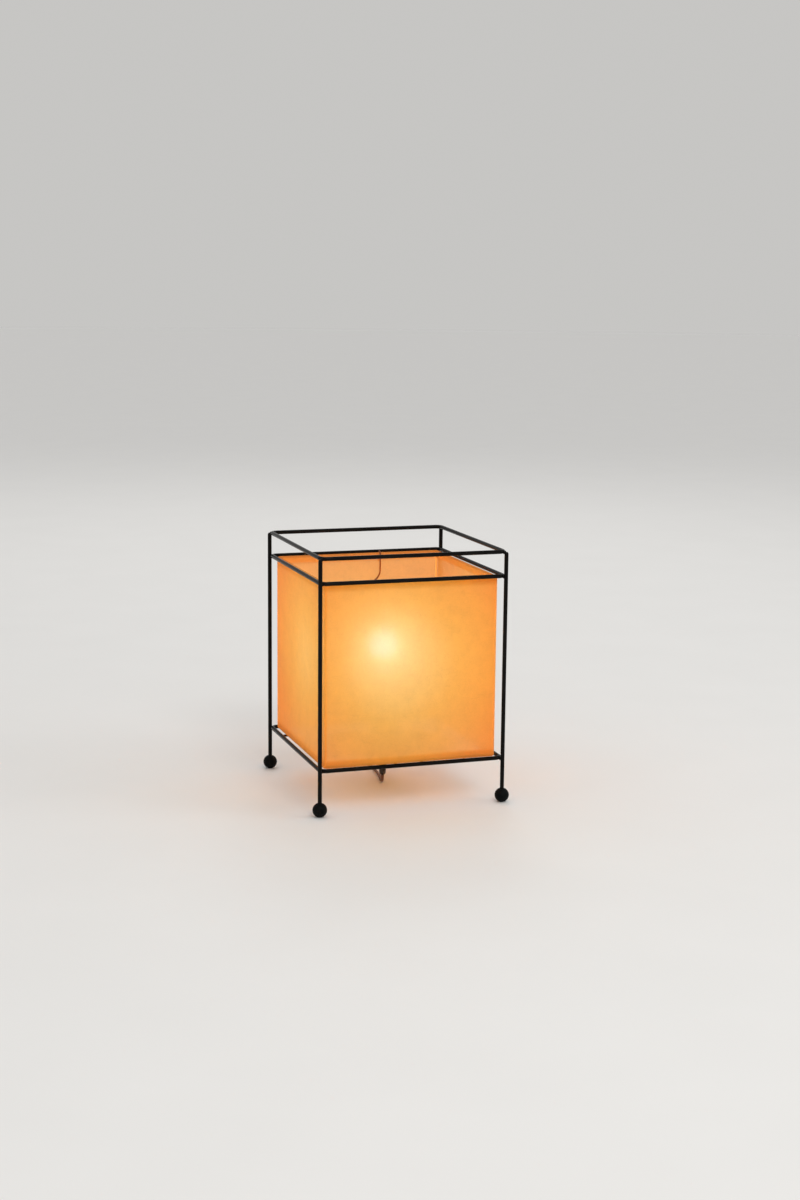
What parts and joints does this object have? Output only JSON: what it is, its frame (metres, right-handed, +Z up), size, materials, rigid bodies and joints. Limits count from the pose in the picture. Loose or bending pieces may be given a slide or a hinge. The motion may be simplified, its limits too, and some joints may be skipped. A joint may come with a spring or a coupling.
{
  "type": "rice paper table lamp",
  "caption": "Square table lamp: a black wire frame on ball feet holds a lift-out rice paper shade around a small screw-in bulb, with a brown flex, switch and plug.",
  "frame": {"origin": "on the table under the middle of the frame, at the height of the flats under the ball feet", "axes": "+X to the right of the lamp, -Y is the front and +Y the back where the flex leaves, +Z up"},
  "size_m": [0.2255, 0.2635, 0.2473],
  "materials": {
    "black_lacquer": "black lacquer on steel rod, slightly glossy",
    "ball_black": "wooden ball stained black, satin",
    "rice_paper": "thin translucent paper, amber because it is lit from inside",
    "shade_wire": "bare wire inside the hems",
    "copper_wash": "steel wire with a copper wash",
    "zinc": "zinc plated steel",
    "brass": "plain brass",
    "bakelite": "dark brown moulded plastic",
    "cream_plastic": "cream moulded plastic",
    "steatite": "unglazed white ceramic",
    "opal_glass": "opal glass, lit",
    "clear_glass": "clear glass",
    "tungsten": "fine wire",
    "brown_flex": "reddish brown braid over two conductors",
    "brown_plastic": "brown moulded plastic"
  },
  "bodies": {
    "frame": {"ball_foot_front_left": "ball_black", "ball_foot_front_right": "ball_black", "ball_foot_back_left": "ball_black", "ball_foot_back_right": "ball_black", "post_front_left": "black_lacquer", "post_front_right": "black_lacquer", "post_back_left": "black_lacquer", "post_back_right": "black_lacquer", "base_hoop": "black_lacquer", "shade_hoop": "black_lacquer", "top_hoop": "black_lacquer", "rest_pin_front": "black_lacquer", "rest_pin_right": "black_lacquer", "rest_pin_back": "black_lacquer", "rest_pin_left": "black_lacquer", "bridge_rod_left": "black_lacquer", "bridge_rod_right": "black_lacquer", "holder_plate": "black_lacquer", "threaded_nipple": "zinc", "lock_nut": "zinc", "cord_grip": "bakelite", "holder_base": "cream_plastic", "holder_skirt": "cream_plastic", "holder_insulator": "steatite", "screw_shell": "brass", "centre_contact": "brass", "flex_to_switch": "brown_flex", "flex_to_coil": "brown_flex", "flex_coil": "brown_flex", "flex_to_plug": "brown_flex", "coil_tie": "bakelite", "switch_lower_shell": "brown_plastic", "switch_upper_shell": "brown_plastic", "rocker_pin": "zinc", "switch_contact_strip": "brass", "plug_body": "brown_plastic", "plug_pin_near": "brass", "plug_pin_far": "brass"},
    "shade": {"shade_paper": "rice_paper", "shade_ring_top": "shade_wire", "shade_ring_bottom": "shade_wire", "shade_upright_front_left": "rice_paper", "shade_upright_front_right": "rice_paper", "shade_upright_back_left": "rice_paper", "shade_upright_back_right": "rice_paper", "shade_clip": "copper_wash"},
    "bulb_tip": {"bulb_eyelet": "zinc", "bulb_tip_glass": "bakelite"},
    "bulb": {"bulb_cap": "zinc", "bulb_glass": "opal_glass", "bulb_stem": "clear_glass", "bulb_filament": "tungsten"},
    "rocker": {"switch_rocker": "bakelite"}
  },
  "joints": [
    {"name": "shade_lift", "type": "slide", "parent": "frame", "child": "shade", "axis": [0, 0, 1], "range_m": [0, 0.215]},
    {"name": "bulb_rise", "type": "slide", "parent": "frame", "child": "bulb_tip", "axis": [0, 0, 1], "range_m": [0, 0.0142]},
    {"name": "bulb_turn", "type": "hinge", "parent": "bulb_tip", "child": "bulb", "pos_m": [0, 0, 0.09], "axis": [0, 0, 1], "range_deg": [0, 1800]},
    {"name": "switch_rock", "type": "hinge", "parent": "frame", "child": "rocker", "pos_m": [0.072, 0.114, 0.0131], "axis": [0, 1, 0], "range_deg": [0, 22]}
  ],
  "couplings": [
    {"joint": "bulb_rise", "follows": "bulb_turn", "m_per_rad": 0.000449}
  ]
}
